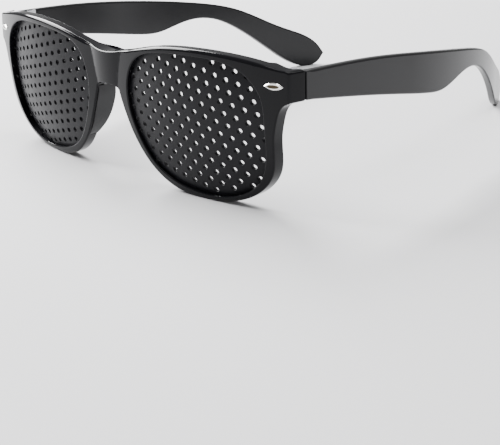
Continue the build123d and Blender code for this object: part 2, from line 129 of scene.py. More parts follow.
lens_x = LENS_GAP / 2 + LENS_W / 2
lens_z = LENS_H / 2 + RIM_TOP
rim_half_w = LENS_W / 2 + RIM_SIDE
rim_half_h = LENS_H / 2 + RIM_TOP
face_x, face_z = lens_x * FACE_X_SHARE, lens_z * FACE_Z_SHARE
corner_x = lens_x + LENS_W / 2 + END_REACH
corner_y = FACE_R - sqrt(FACE_R**2 - (corner_x - face_x) ** 2)
end_back = corner_y + END_DEPTH
side_x = corner_x + END_DEPTH * tan(radians(END_FLARE))
wall_x = side_x - END_WALL
end_z, end_mid = END_TOP - END_H, END_TOP - END_H / 2
leaf_y = end_back - END_DEPTH + END_PAD
leaf_in_x = wall_x - END_PAD_W
temple_y, temple_z = end_back + HINGE_GAP, END_TOP - TEMPLE_DROP
leaf_start = temple_y + TEMPLE_LEAF_SET
leaf_h = KNUCKLES * KNUCKLE_H + (KNUCKLES - 1) * KNUCKLE_GAP
leaf_z = end_mid - leaf_h / 2
middle_y = (temple_y + TEMPLE_L - BRIDGE_PROUD) / 2
plate_x, plate_z = lens_x * PLATE_X_SHARE, lens_z * PLATE_Z_SHARE


# camera at the photograph's angle

CAM_AZ, CAM_EL, CAM_ROLL = 44.258, 16.846, -2.251   # degrees about the glasses' own upright frame
CAM_FOCAL_PX, PHOTO_W, PHOTO_H, AXIS_ROW_PX = 1131.4, 500, 445, 102
CAM_AT = (282.06, -223.28, 95.40)                   # from a point in the bridge, before the lean
SENSOR_W, CAM_NEAR, CAM_FAR = 36.0, 0.01, 20.0      # in millimetres, metres and metres

# the lean of the frame, which stands on its rims and temple ends, and where that point is,
# above the ground and behind the model's zero
LEAN_TAN, BRIDGE_UP, BRIDGE_BACK = 0.0238, 36.5, 0.95


def stand(v, is_place):
    """Turn a camera vector or place into the standing frame."""
    a = atan(LEAN_TAN)
    x, y, z = v[0], v[1] * cos(a) - v[2] * sin(a), v[2] * cos(a) + v[1] * sin(a)
    if is_place:
        return Vector((x, y + BRIDGE_BACK - middle_y, z + BRIDGE_UP)) * MM
    return Vector((x, y, z))


az, el, roll = radians(CAM_AZ), radians(CAM_EL), radians(CAM_ROLL)
back_v = Vector((sin(az) * cos(el), -cos(az) * cos(el), sin(el)))
right0 = Vector((cos(az), sin(az), 0))
up0 = back_v.cross(right0)
right_v = right0 * cos(roll) + up0 * sin(roll)
up_v = up0 * cos(roll) - right0 * sin(roll)
cam_data = bpy.data.cameras.new("camera")
cam = bpy.data.objects.new("camera", cam_data)
bpy.context.scene.collection.objects.link(cam)
rows = [stand(v, False) for v in (right_v, up_v, back_v)]
m = Matrix((rows[0], rows[1], rows[2])).transposed().to_4x4()
m.translation = stand(CAM_AT, True)
cam.matrix_world = m
cam_data.sensor_fit = "HORIZONTAL"
cam_data.sensor_width = SENSOR_W
cam_data.lens = CAM_FOCAL_PX / PHOTO_W * cam_data.sensor_width
cam_data.shift_x = 0.0
cam_data.shift_y = -(PHOTO_H / 2 - AXIS_ROW_PX) / PHOTO_W
cam_data.clip_start, cam_data.clip_end = CAM_NEAR, CAM_FAR
bpy.context.scene.camera = cam


# smooth curves

def cubic(points, step, closed=False, start=None, end=None):
    """A smooth curve through points, cut into steps; start and end are slopes."""
    p = np.array(points + (points[:1] if closed else []), float)
    h = np.hypot(*(p[1:] - p[:-1]).T)
    n = len(p)
    a = np.zeros((n, n))
    b = np.zeros((n, 2))
    for i in range(1, n - 1):
        a[i, i - 1], a[i, i], a[i, i + 1] = h[i - 1], 2 * (h[i - 1] + h[i]), h[i]
        b[i] = 6 * ((p[i + 1] - p[i]) / h[i] - (p[i] - p[i - 1]) / h[i - 1])
    if closed:
        a[0, 0], a[0, -1] = 1, -1
        a[-1, 0], a[-1, 1], a[-1, -2], a[-1, -1] = 2 * h[0], h[0], h[-1], 2 * h[-1]
        b[-1] = 6 * ((p[1] - p[0]) / h[0] - (p[-1] - p[-2]) / h[-1])
    else:
        for row, sl, k in ((0, start, 0), (n - 1, end, n - 2)):
            if sl is None:
                a[row, row] = 1
                continue
            sl = np.array(sl, float) / hypot(*sl)
            near, far = (0, 1) if row == 0 else (n - 1, n - 2)
            a[row, near], a[row, far] = 2 * h[k], h[k]
            d = (p[k + 1] - p[k]) / h[k]
            b[row] = 6 * (d - sl) if row == 0 else 6 * (sl - d)
    m2 = np.linalg.solve(a, b)
    out = []
    for i in range(n - 1):
        parts = max(1, int(round(h[i] / step)))
        for t in np.arange(parts) / parts:
            u, v = 1 - t, t
            out.append(
                u * p[i] + v * p[i + 1]
                + h[i] ** 2 / 6 * ((u**3 - u) * m2[i] + (v**3 - v) * m2[i + 1])
            )
    if not closed:
        out.append(p[-1])
    return [tuple(q) for q in out]


def area2(loop):
    """Twice a loop's area, positive where it runs anticlockwise."""
    q = np.array(loop)
    r = np.roll(q, -1, axis=0)
    return float(np.sum(q[:, 0] * r[:, 1] - r[:, 0] * q[:, 1]))


def inward(loop, hole):
    """Unit normals of a loop that point into the material."""
    q = np.array(loop)
    t = np.roll(q, -1, axis=0) - np.roll(q, 1, axis=0)
    t /= np.hypot(*t.T)[:, None]
    n = np.stack([-t[:, 1], t[:, 0]], 1)
    flip = (area2(loop) < 0) != hole
    return -n if flip else n


def inside(loop, pts):
    """Which points lie inside a loop."""
    q = np.array(loop)
    r = np.roll(q, -1, axis=0)
    x, y = pts[:, 0][:, None], pts[:, 1][:, None]
    cond = (q[:, 1] > y) != (r[:, 1] > y)
    with np.errstate(divide="ignore", invalid="ignore"):
        cross = (r[:, 0] - q[:, 0]) * (y - q[:, 1]) / (r[:, 1] - q[:, 1]) + q[:, 0]
    return (np.sum(cond & (x < cross), axis=1) % 2).astype(bool)


# a moulded piece: rings of edges extruded round its wall, with a skin filled over each face

# the steps of a rounded edge, as shares of its radius: how far inset, and how deep
ROUND = [(1 - sin(a), 1 - cos(a)) for a in (0, pi / 6, pi / 3, pi / 2)]
FINE_ROUND = [
    (1 - sin(a), 1 - cos(a)) for a in (0, pi / 10, pi / 5, 3 * pi / 10, 2 * pi / 5, pi / 2)
]
FRONT_SKIN, REAR_SKIN = 1, 2   # what marks a skin's faces while the piece is made
SAME_PLACE, TOUCHING = 2e-6, 2e-7   # metres: found as one point, and merged into one point


def alone(ob=None):
    """Leave edit mode, and have only this object selected."""
    if bpy.context.mode != "OBJECT":
        bpy.ops.object.mode_set(mode="OBJECT")
    bpy.ops.object.select_all(action="DESELECT")
    if ob:
        ob.select_set(True)
        bpy.context.view_layer.objects.active = ob


def tree_of(points):
    """A search tree that finds the nearest of these points."""
    tree = KDTree(len(points))
    for i, p in enumerate(points):
        tree.insert(p, i)
    tree.balance()
    return tree


def select_at(points):
    """Select the vertices that stand at these points."""
    mesh = bpy.context.object.data
    bpy.ops.mesh.select_all(action="DESELECT")
    bm = bmesh.from_edit_mesh(mesh)
    tree = tree_of(points)
    for v in bm.verts:
        v.select = tree.find(v.co)[2] < SAME_PLACE
    bm.select_flush(True)
    bmesh.update_edit_mesh(mesh)


def shift_selected(old, new):
    """Bring the selected vertices, which stand at old, to new."""
    mesh = bpy.context.object.data
    bm = bmesh.from_edit_mesh(mesh)
    tree = tree_of(old)
    for v in bm.verts:
        if v.select:
            v.co = new[tree.find(v.co)[1]]
    bmesh.update_edit_mesh(mesh)


def ring_points(loop, face, rear, place):
    """The rings of one outline, from the front skin round the wall to the rear skin."""
    pts = np.array(loop["pts"])
    nrm = inward(loop["pts"], loop["hole"])
    found = []
    for inset, side, depth in loop["rings"]:
        uv = pts + nrm * np.broadcast_to(np.array(inset, float).reshape(-1, 1), (len(pts), 1))
        w = face(uv[:, 0], uv[:, 1]) + depth if side == "face" else rear(uv[:, 0], uv[:, 1]) - depth
        if "warp" in loop:
            uv = loop["warp"](uv, w)
        found.append([Vector(place(u, v, d)) for (u, v), d in zip(uv, w)])
    return found


def select_skin(which, near=None):
    """Select a skin's faces, or those of them whose middle the test near accepts."""
    mesh = bpy.context.object.data
    bpy.ops.mesh.select_all(action="DESELECT")
    bm = bmesh.from_edit_mesh(mesh)
    for f in bm.faces:
        if f.material_index == which and (near is None or near(f.calc_center_median())):
            f.select_set(True)
    bmesh.update_edit_mesh(mesh)
    return any(f.select for f in bm.faces)


def score(which, at, across, near=None):
    """Cut a skin along a plane, so that it can fold or curve there."""
    if select_skin(which, near):
        bpy.ops.mesh.bisect(plane_co=at, plane_no=across)


def moulding(name, groups, face, rear, place, cuts, settle):
    """A moulded piece. groups holds lists of outlines that have the same rings, and cuts holds
    the planes that score the skins. settle(co, which) puts a skin's vertex on its surface."""
    alone()
    front_ring, rear_ring = [], []
    ob = None
    for group in groups:
        rings = [ring_points(loop, face, rear, place) for loop in group]
        for points in (r[0] for r in rings):
            bpy.ops.mesh.primitive_circle_add(vertices=len(points), radius=MM, location=points[0])
            if ob is None:
                ob = bpy.context.object
                ob.name = ob.data.name = name
                ob.location = (0, 0, 0)
                bpy.ops.object.mode_set(mode="EDIT")
                bpy.ops.mesh.select_mode(type="VERT")
            bm = bmesh.from_edit_mesh(ob.data)
            for v, p in zip([v for v in bm.verts if v.select], points):
                v.co = p
            bmesh.update_edit_mesh(ob.data)
        steps = [[p for r in rings for p in r[k]] for k in range(len(rings[0]))]
        select_at(steps[0])
        for old, new in zip(steps, steps[1:]):
            bpy.ops.mesh.extrude_edges_move()
            shift_selected(old, new)
        front_ring += steps[0]
        rear_ring += steps[-1]
    for which, ring in ((FRONT_SKIN, front_ring), (REAR_SKIN, rear_ring)):
        select_at(ring)
        bpy.ops.mesh.fill(use_beauty=True)
        bm = bmesh.from_edit_mesh(ob.data)
        for f in bm.faces:
            if f.select:
                f.material_index = which
        bmesh.update_edit_mesh(ob.data)
    for cut in cuts:
        score(*cut)
    bm = bmesh.from_edit_mesh(ob.data)
    for which in (FRONT_SKIN, REAR_SKIN):
        for v in {v for f in bm.faces if f.material_index == which for v in f.verts}:
            v.co = settle(v.co, which)
    bmesh.update_edit_mesh(ob.data)
    bpy.ops.mesh.select_all(action="SELECT")
    bpy.ops.mesh.remove_doubles(threshold=TOUCHING)
    bpy.ops.mesh.dissolve_degenerate(threshold=TOUCHING)
    bpy.ops.mesh.select_all(action="SELECT")
    bpy.ops.mesh.normals_make_consistent(inside=False)
    bpy.ops.object.mode_set(mode="OBJECT")
    return ob


def turn_over(ob):
    """Mirror a left piece into a right one."""
    alone(ob)
    bpy.ops.object.mode_set(mode="EDIT")
    bpy.ops.mesh.select_all(action="SELECT")
    bpy.ops.transform.resize(value=(-1, 1, 1), center_override=(0, 0, 0))
    bpy.ops.mesh.normals_make_consistent(inside=False)
    bpy.ops.object.mode_set(mode="OBJECT")


def right_copy(ob, name):
    """A right piece, copied from a left one and turned over."""
    alone(ob)
    bpy.ops.object.duplicate()
    two = bpy.context.object
    two.name = two.data.name = name
    turn_over(two)
    return two


SLOPE_REACH = 0.01         # millimetres to each side, where a surface's slope is taken
SHARP_ANGLE, SKIN_ANGLE = 38, 9   # degrees: a crease, and the most a skin's normal is corrected
CORNER_IN = 0.05           # share of the way from a corner to its face's middle


def surface_normals(surface, axis, points):
    """Outward normals of a skin, from how its depth changes along its two other axes."""
    others = [k for k in range(3) if k != axis]
    mm = points / MM
    mm[:, 1] += middle_y
    n = np.zeros_like(mm)
    for k in others:
        up, down = mm.copy(), mm.copy()
        up[:, k] += SLOPE_REACH
        down[:, k] -= SLOPE_REACH
        rise = surface(*[up[:, j] for j in others]) - surface(*[down[:, j] for j in others])
        n[:, k] = -rise / (2 * SLOPE_REACH)
    n[:, axis] = 1
    return n / np.linalg.norm(n, axis=1)[:, None]


def smooth(ob, surfaces, axis):
    """Polished shading: the skins take the normals of the surfaces they lie on."""
    alone(ob)
    bpy.ops.object.shade_smooth_by_angle(angle=radians(SHARP_ANGLE))
    weigh = ob.modifiers.new("weighted", "WEIGHTED_NORMAL")
    weigh.keep_sharp = True
    bpy.ops.object.modifier_apply(modifier=weigh.name)
    me = ob.data
    count = len(me.loops)
    now = np.zeros(count * 3)
    me.corner_normals.foreach_get("vector", now)
    now = now.reshape(-1, 3)
    co = np.zeros(len(me.vertices) * 3)
    me.vertices.foreach_get("co", co)
    co = co.reshape(-1, 3)
    for which, surface in surfaces.items():
        corners, middles, flats = [], [], []
        for f in me.polygons:
            if f.material_index == which:
                corners += list(f.loop_indices)
                middles += [f.center] * f.loop_total
                flats += [f.normal] * f.loop_total
        corners = np.array(corners)
        flats = np.array([tuple(v) for v in flats])
        at = co[[me.loops[int(k)].vertex_index for k in corners]]
        at += CORNER_IN * (np.array([tuple(v) for v in middles]) - at)
        right = at[:, 0] < 0
        at[:, 0] = np.abs(at[:, 0])
        n = surface_normals(surface, axis, at)
        n[right, 0] *= -1
        n *= np.sign((n * flats).sum(1))[:, None]
        close = (n * flats).sum(1) > cos(radians(SKIN_ANGLE))
        now[corners[close]] = n[close]
    me.normals_split_custom_set([tuple(v) for v in now])
    for f in me.polygons:
        f.material_index = 0


# the surfaces of the front

def rim_point(share):
    """A point of the rim's outline from its shares."""
    return (lens_x + share[0] * rim_half_w, lens_z + share[1] * rim_half_h)


def root(v):
    """Square root that stays real just past a curve's edge."""
    return np.sqrt(np.maximum(v, 0.01))


def ball(x, z, cx, cz, radius, top):
    """Depth of a sphere's front, whose foremost point stands at cx, cz and top."""
    return top + radius - root(radius**2 - (x - cx) ** 2 - (z - cz) ** 2)


def front_face(x, z):
    """The front's outer face: each rim on its sphere, and the bridge panel where it is proud."""
    x = np.abs(x)
    rim = ball(x, z, face_x, face_z, FACE_R, 0)
    lean = radians(BRIDGE_LEAN)
    bow = (BRIDGE_R - root(BRIDGE_R**2 - x**2)) / cos(lean)
    panel = -BRIDGE_PROUD + (BRIDGE_TOP - z) * tan(lean) + bow
    return np.where(x < BRIDGE_R / 2, np.minimum(rim, panel), rim)


def rim_rear(x, z):
    """The rims' rear face, on a smaller sphere about the same centre."""
    x = np.abs(x)
    return FACE_R - np.sqrt((FACE_R - RIM_DEPTH) ** 2 - (x - face_x) ** 2 - (z - face_z) ** 2)


def front_rear(x, z):
    """The front's rear face, with the end pieces' seats and the pockets of the hinge leaves."""
    x = np.abs(x)
    y = rim_rear(x, z)
    high = z > end_z - END_SHOULDER
    ramp = np.clip((x - leaf_in_x + END_PAD) / END_PAD, 0, 1) * leaf_y
    y = np.where(high & (x > leaf_in_x - END_PAD), np.maximum(y, ramp), y)
    pocket = (
        (x > wall_x - FRONT_LEAF_W - 2 * LEAF_CLEAR) & (x < wall_x)
        & (z > leaf_z - LEAF_CLEAR) & (z < leaf_z + leaf_h + LEAF_CLEAR)
    )
    y = np.where(pocket, leaf_y - LEAF_T - LEAF_CLEAR, y)
    return np.where(high & (x > wall_x), end_back, y)


def place_front(x, z, y):
    """A place of the front or of a plate, in metres."""
    return (float(x) * MM, float(y - middle_y) * MM, float(z) * MM)


def corner(p, a, b, r):
    """Round the corner p between the directions of a and b."""
    p, a, b = (np.array(q, float) for q in (p, a, b))
    da, db = (a - p) / np.hypot(*(a - p)), (b - p) / np.hypot(*(b - p))
    half = np.arccos(np.clip(np.dot(da, db), -1, 1)) / 2
    back = r / np.tan(half)
    centre = p + (da + db) / np.hypot(*(da + db)) * r / np.sin(half)
    s, e = p + da * back - centre, p + db * back - centre
    a0, a1 = np.arctan2(s[1], s[0]), np.arctan2(e[1], e[0])
    turn = (a1 - a0 + pi) % (2 * pi) - pi
    angles = [a0 + turn * t for t in np.linspace(0, 1, CORNER_POINTS)]
    return [tuple(centre + r * np.array([cos(a), sin(a)])) for a in angles]


def half_outline():
    """Outline of the left half, from the top of the bridge round to the arch."""
    end_top = (corner_x, END_TOP + END_TOP_RISE)
    brow_points = [(0, BRIDGE_TOP)] + [rim_point(s) for s in BROW_SHARES] + [end_top]
    brow = cubic(brow_points, STEP, start=(1, 0), end=(1, -BROW_FALL))
    end_low = (corner_x, end_z - END_LOW_DROP)
    under = [rim_point(s) for s in UNDER_SHARES]
    flank = [rim_point(s) for s in FLANK_SHARES]
    low = cubic([end_low] + under + [(lens_x, 0)] + flank, STEP)
    p0, c1 = np.array(low[-1]), np.array(rim_point(ARCH_SHARES[0]))
    c2 = np.array((rim_point(ARCH_SHARES[1])[0], BRIDGE_ARCH))
    p3 = np.array((0, BRIDGE_ARCH))
    arch = []
    for t in np.linspace(0, 1, ARCH_POINTS)[1:]:
        u = 1 - t
        arch.append(tuple(u**3 * p0 + 3 * u * u * t * c1 + 3 * u * t * t * c2 + t**3 * p3))
    top = corner(end_top, brow[-3], end_low, END_CORNER_R)
    bottom = corner(end_low, end_top, low[2], END_CORNER_R)
    side = [(corner_x, z) for z in np.linspace(top[-1][1], bottom[0][1], SIDE_POINTS)[1:-1]]
    return brow[:-2] + top + side + bottom + low[2:] + arch


half = half_outline()
outline = half + [(-x, z) for x, z in reversed(half[1:-1])]


def side_shift(uv, w):
    """The end piece flares outward behind its front corner."""
    x = np.abs(uv[:, 0])
    grow = np.clip((x - wall_x) / (corner_x - wall_x), 0, 1)
    depth = np.maximum(w - corner_y, 0)
    out = uv[:, 0] + np.sign(uv[:, 0]) * grow * depth * tan(radians(END_FLARE))
    return np.stack([out, uv[:, 1]], 1)


# how deep each pad is let into the rim, along the pad's height
pad_line = np.array(cubic([rim_point(s) for s in PAD_SHARES], STEP / 2))
pad_knots = np.linspace(0, len(pad_line) - 1, len(PAD_T_SHARES))
pad_t = np.interp(np.arange(len(pad_line)), pad_knots, PAD_T_SHARES) * PAD_T


def brow_weight(p):
    """1 along the brow, fading at the bridge and at the end piece."""
    x, z = abs(p[0]), p[1]
    if z < END_TOP - BROW_REACH_DOWN:
        return 0.0
    fade_in = np.clip((x - BROW_START) / BROW_FADE_IN, 0, 1)
    fade_out = np.clip((corner_x - BROW_STOP - x) / BROW_FADE_OUT, 0, 1)
    return float(fade_in * fade_out)


weight = np.array([brow_weight(p) for p in outline])
seat = np.zeros(len(outline))
for i, (x, z) in enumerate(outline):
    if pad_line[0][1] < z < pad_line[-1][1] and abs(x) < lens_x - LENS_W / 4:
        seat[i] = np.interp(z, pad_line[:, 1], pad_t)

rounding = EDGE + (BROW_EDGE - EDGE) * weight
rings = [(ri * rounding, "face", rd * rounding) for ri, rd in FINE_ROUND]
behind_lip = np.full(len(outline), PAD_LIP + PAD_LIP_CLEAR)
rings.append((np.zeros(len(outline)), "face", behind_lip))
rings.append((seat, "face", behind_lip))
for ri, rd in reversed(ROUND):
    rings.append((seat + ri * REAR_EDGE, "rear", rd * REAR_EDGE))
loops = [{"pts": outline, "hole": False, "rings": rings, "warp": side_shift}]


def opening(grow, step=STEP):
    """The left opening's outline, with its half width and half height grown by this much."""
    half_w, half_h = LENS_W / 2 + grow, LENS_H / 2 + grow
    points = [(lens_x + u * half_w, lens_z + v * half_h) for u, v in OPENING_SHARES]
    return cubic(points, step, closed=True)


def plate_face(x, z):
    """The plates' outer face."""
    return ball(np.abs(x), z, plate_x, plate_z, PLATE_R, PLATE_SET)


def groove_rings(pts):
    """The rings of an opening: its rounded front edge, the plate's groove and its rear edge."""
    x, z = pts[:, 0], pts[:, 1]
    n = inward([tuple(p) for p in pts], True)
    deep = pts + n * (GROOVE + PLATE_CLEAR)
    rim0, rim1 = front_face(x, z), front_face(deep[:, 0], deep[:, 1])
    p0 = plate_face(x, z) - PLATE_CLEAR
    p1 = plate_face(deep[:, 0], deep[:, 1]) - PLATE_CLEAR
    t = PLATE_T + 3 * PLATE_CLEAR
    zero = np.zeros(len(pts))
    full = zero + GROOVE + PLATE_CLEAR
    out = [(zero + ri * EDGE, "face", zero + rd * EDGE) for ri, rd in ROUND]
    out += [(zero, "face", p0 - rim0), (full, "face", p1 - rim1)]
    out += [(full, "face", p1 - rim1 + t), (zero, "face", p0 - rim0 + t)]
    out += [(zero + ri * EDGE, "rear", zero + rd * EDGE) for ri, rd in reversed(ROUND)]
    return out


CREASE_SEARCH, CREASE_HALVINGS = (0.5, 12.0), 40
left_open = opening(0)
for pts in (left_open, [(-x, z) for x, z in left_open]):
    loops.append({"pts": pts, "hole": True, "rings": groove_rings(np.array(pts))})


def crease_x(z):
    """Where the bridge panel meets the rim at this height, found by halving."""
    lo, hi = CREASE_SEARCH
    for _ in range(CREASE_HALVINGS):
        mid = (lo + hi) / 2
        x = np.array([mid])
        rim = ball(x, np.array([z]), face_x, face_z, FACE_R, 0)[0]
        lo, hi = (mid, hi) if front_face(x, np.array([z]))[0] < rim - 1e-9 else (lo, mid)
    return lo


# where the skins are scored: the bridge's creases and curve, the end pieces and the hinge pockets
cuts = []
crease_top, crease_low = crease_x(BRIDGE_TOP), crease_x(BRIDGE_ARCH)
for sx in (1, -1):
    tilt = (crease_top - crease_low) / (BRIDGE_TOP - BRIDGE_ARCH)
    cuts.append((FRONT_SKIN, (sx * crease_top * MM, 0, BRIDGE_TOP * MM), (1, 0, -sx * tilt)))
for x in np.arange(-BRIDGE_R / 2 + BRIDGE_CUT_START, BRIDGE_R / 2, BRIDGE_CUT_STEP):
    cuts.append((FRONT_SKIN, (x * MM, 0, 0), (1, 0, 0)))
    cuts.append((REAR_SKIN, (x * MM, 0, 0), (1, 0, 0)))
for z in np.arange(LEVEL_CUT_START, END_TOP, LEVEL_CUT_STEP):
    cuts.append((FRONT_SKIN, (0, 0, z * MM), (0, 0, 1)))
    cuts.append((REAR_SKIN, (0, 0, z * MM), (0, 0, 1)))
for x in np.arange(UPRIGHT_CUT_START, corner_x, UPRIGHT_CUT_STEP):
    for sx in (1, -1):
        cuts.append((FRONT_SKIN, (sx * x * MM, 0, 0), (1, 0, 0)))
        cuts.append((REAR_SKIN, (sx * x * MM, 0, 0), (1, 0, 0)))


def at_end_piece(co):
    """Whether a face lies at an end piece."""
    beside = abs(co.x) > (leaf_in_x - END_PAD - NEAR_BY) * MM
    return beside and co.z > (end_z - END_SHOULDER - NEAR_BY) * MM


for sx in (1, -1):
    for x in (leaf_in_x - END_PAD, leaf_in_x - END_PAD * RAMP_CUT_SHARE, leaf_in_x):
        cuts.append((REAR_SKIN, (sx * x * MM, 0, 0), (1, 0, 0), at_end_piece))
    for e in (-HAIR, HAIR):
        for x in (wall_x, wall_x - FRONT_LEAF_W - 2 * LEAF_CLEAR):
            cuts.append((REAR_SKIN, (sx * (x + e) * MM, 0, 0), (1, 0, 0), at_end_piece))
for e in (-HAIR, HAIR):
    for z in (end_z - END_SHOULDER, leaf_z - LEAF_CLEAR, leaf_z + leaf_h + LEAF_CLEAR):
        cuts.append((REAR_SKIN, (0, 0, (z + e) * MM), (0, 0, 1), at_end_piece))


def on_front(co, which):
    """A skin's vertex, set on the front's face or rear."""
    x, z = np.array([co.x / MM]), np.array([co.z / MM])
    surface = front_face if which == FRONT_SKIN else front_rear
    return Vector((co.x, float(surface(x, z)[0] - middle_y) * MM, co.z))


front = moulding(
    "front_shell", [loops[:1], loops[1:]], front_face, front_rear, place_front, cuts, on_front,
)
smooth(front, {FRONT_SKIN: front_face, REAR_SKIN: front_rear}, 1)
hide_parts("front_frame")
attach(front, "front")


# pinhole plates

def hole_centres(phase):
    """Centres of the holes that lie well inside the opening, in rows of a hexagonal field."""
    reach = int(LENS_W / HOLE_PITCH) + 1
    turn = radians(HOLE_TURN)
    found = []
    for i in range(-reach, reach + 1):
        for j in range(-reach, reach + 1):
            along, down = i + j / 2, j * sqrt(3) / 2
            found.append((
                lens_x + HOLE_PITCH * (phase[0] + along * cos(turn) - down * sin(turn)),
                lens_z + HOLE_PITCH * (phase[1] - along * sin(turn) - down * cos(turn)),
            ))
    q = np.array(found)
    return q[inside(opening(-HOLE_EDGE, HOLE_FIELD_STEP), q)]


def plate_rear(x, z):
    """The plates' inner face."""
    across = (np.abs(x) - plate_x) ** 2
    return PLATE_SET + PLATE_R - np.sqrt((PLATE_R - PLATE_T) ** 2 - across - (z - plate_z) ** 2)


def on_plate(co, which):
    """A skin's vertex, set on the plate's outer or inner face."""
    x, z = np.array([co.x / MM]), np.array([co.z / MM])
    surface = plate_face if which == FRONT_SKIN else plate_rear
    return Vector((co.x, float(surface(x, z)[0] - middle_y) * MM, co.z))


plate_y = float(plate_face(lens_x, lens_z))
back_slope = np.array((lens_x - plate_x, lens_z - plate_z)) / (PLATE_SET + PLATE_R - plate_y)


def hole_warp(uv, w):
    """The holes run back along the plate's own axis."""
    return uv - back_slope * (w - plate_face(uv[:, 0], uv[:, 1]))[:, None]


edge = [(0.0, "face", 0.0), (0.0, "rear", 0.0)]
hole_rings = [(ri * HOLE_EDGE_R, "face", rd * HOLE_EDGE_R) for ri, rd in ROUND]
hole_rings += [(ri * HOLE_EDGE_R, "rear", rd * HOLE_EDGE_R) for ri, rd in reversed(ROUND)]
hole_angles = [2 * pi * k / HOLE_SIDES for k in range(HOLE_SIDES)]
for side, phase in (("left", LEFT_PHASE_SHARES), ("right", RIGHT_PHASE_SHARES)):
    pl = [{"pts": opening(GROOVE), "hole": False, "rings": edge}]
    for cx, cz in hole_centres(phase):
        circle = [(cx + HOLE_D / 2 * cos(a), cz + HOLE_D / 2 * sin(a)) for a in hole_angles]
        pl.append({"pts": circle, "hole": True, "rings": hole_rings, "warp": hole_warp})
    plate = moulding(
        side + "_plate_shell", [pl[:1], pl[1:]], plate_face, plate_rear, place_front, [], on_plate,
    )
    if side == "right":
        turn_over(plate)
    smooth(plate, {FRONT_SKIN: plate_face, REAR_SKIN: plate_rear}, 1)
    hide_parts(side + "_pinhole_plate")
    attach(plate, "front")


# temples

bend_y = temple_y + TEMPLE_L * TEMPLE_BEND_SHARE
flare = radians(TEMPLE_FLARE)


def temple_x(y, shift):
    """X of the temple's plan line, shifted outward from the middle of its thickness."""
    x0 = wall_x + TEMPLE_T / 2 + shift
    bend_x = x0 + (bend_y - temple_y) * tan(flare)
    r = TEMPLE_BEND_R + shift
    cx, cy = bend_x - r * cos(flare), bend_y + r * sin(flare)
    turn_end = radians(TEMPLE_TURN) - flare
    ye = cy + r * sin(turn_end)
    straight = x0 + (y - temple_y) * tan(flare)
    arc = cx + root(r**2 - (y - cy) ** 2)
    tail = cx + r * cos(turn_end) - (y - ye) * tan(turn_end)
    return np.where(y < bend_y, straight, np.where(y < ye, arc, tail))


def outer_side(y, z):
    """X of the temple's outer face."""
    return temple_x(y, TEMPLE_T / 2)


def inner_side(y, z):
    """X of the temple's inner face, with the pocket of the hinge leaf."""
    x = temple_x(y, -TEMPLE_T / 2)
    pocket = (
        (y > leaf_start - LEAF_CLEAR) & (y < leaf_start + TEMPLE_LEAF_L + LEAF_CLEAR)
        & (z > leaf_z - LEAF_CLEAR) & (z < leaf_z + leaf_h + LEAF_CLEAR)
    )
    return np.where(pocket, wall_x + LEAF_T + LEAF_CLEAR, x)


def temple_out(y, z):
    """Depth of the outer face, counted inward."""
    return -outer_side(y, z)


def temple_in(y, z):
    """Depth of the inner face, counted inward."""
    return -inner_side(y, z)


def place_temple(y, z, w):
    """A place of the left temple, in metres."""
    return (float(-w) * MM, float(y - middle_y) * MM, float(z) * MM)


top = [(temple_y + u * TEMPLE_L, v * temple_z) for u, v in TEMPLE_TOP_SHARES]
low = [(temple_y + u * TEMPLE_L, v * temple_z) for u, v in TEMPLE_UNDER_SHARES]
top_line = cubic(top[:-2], STEP) + cubic(top[-3:] + low[1:3], STEP / 2)[1:-1]
low_line = cubic(low[2:], STEP)
first, last = top_line[0], low_line[-1]
end_line = [(temple_y, z) for z in np.linspace(last[1], first[1], TEMPLE_END_POINTS)[1:-1]]
c_low = corner(last, low_line[-3], first, TEMPLE_CORNER_R)
c_top = corner(first, last, top_line[2], TEMPLE_CORNER_R)
side_loop = top_line[2:] + low_line[:-2] + c_low + end_line[1:-1] + c_top
from_end = np.array(side_loop)[:, 0] - temple_y - END_FLAT
soft = np.clip(from_end / TEMPLE_END_SOFT, 0, 1)
er = TEMPLE_END_EDGE + (TEMPLE_EDGE - TEMPLE_END_EDGE) * soft
t_rings = [(ri * er, "face", rd * er) for ri, rd in ROUND]
t_rings += [(ri * er, "rear", rd * er) for ri, rd in reversed(ROUND)]
t_cuts = []
for y in np.arange(temple_y + TEMPLE_CUT_START, temple_y + TEMPLE_L, TEMPLE_CUT_STEP):
    for which in (FRONT_SKIN, REAR_SKIN):
        t_cuts.append((which, (0, (y - middle_y) * MM, 0), (0, 1, 0)))


def by_hinge(co):
    """Whether a face lies beside the hinge leaf."""
    return co.y < (leaf_start + TEMPLE_LEAF_L + NEAR_BY - middle_y) * MM


for e in (-HAIR, HAIR):
    for y in (leaf_start - LEAF_CLEAR, leaf_start + TEMPLE_LEAF_L + LEAF_CLEAR):
        t_cuts.append((REAR_SKIN, (0, (y + e - middle_y) * MM, 0), (0, 1, 0), by_hinge))
    for z in (leaf_z - LEAF_CLEAR, leaf_z + leaf_h + LEAF_CLEAR):
        t_cuts.append((REAR_SKIN, (0, 0, (z + e) * MM), (0, 0, 1), by_hinge))


def on_temple(co, which):
    """A skin's vertex, set on the temple's outer or inner face."""
    y, z = np.array([co.y / MM + middle_y]), np.array([co.z / MM])
    surface = outer_side if which == FRONT_SKIN else inner_side
    return Vector((float(surface(y, z)[0]) * MM, co.y, co.z))


left_temple = moulding(
    "left_temple_shell", [[{"pts": side_loop, "hole": False, "rings": t_rings}]],
    temple_out, temple_in, place_temple, t_cuts, on_temple,
)
right_temple = right_copy(left_temple, "right_temple_shell")
for side, ob in (("left", left_temple), ("right", right_temple)):
    smooth(ob, {FRONT_SKIN: outer_side, REAR_SKIN: inner_side}, 0)
    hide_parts(side + "_temple")
    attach(ob, side + "_arm")


# materials

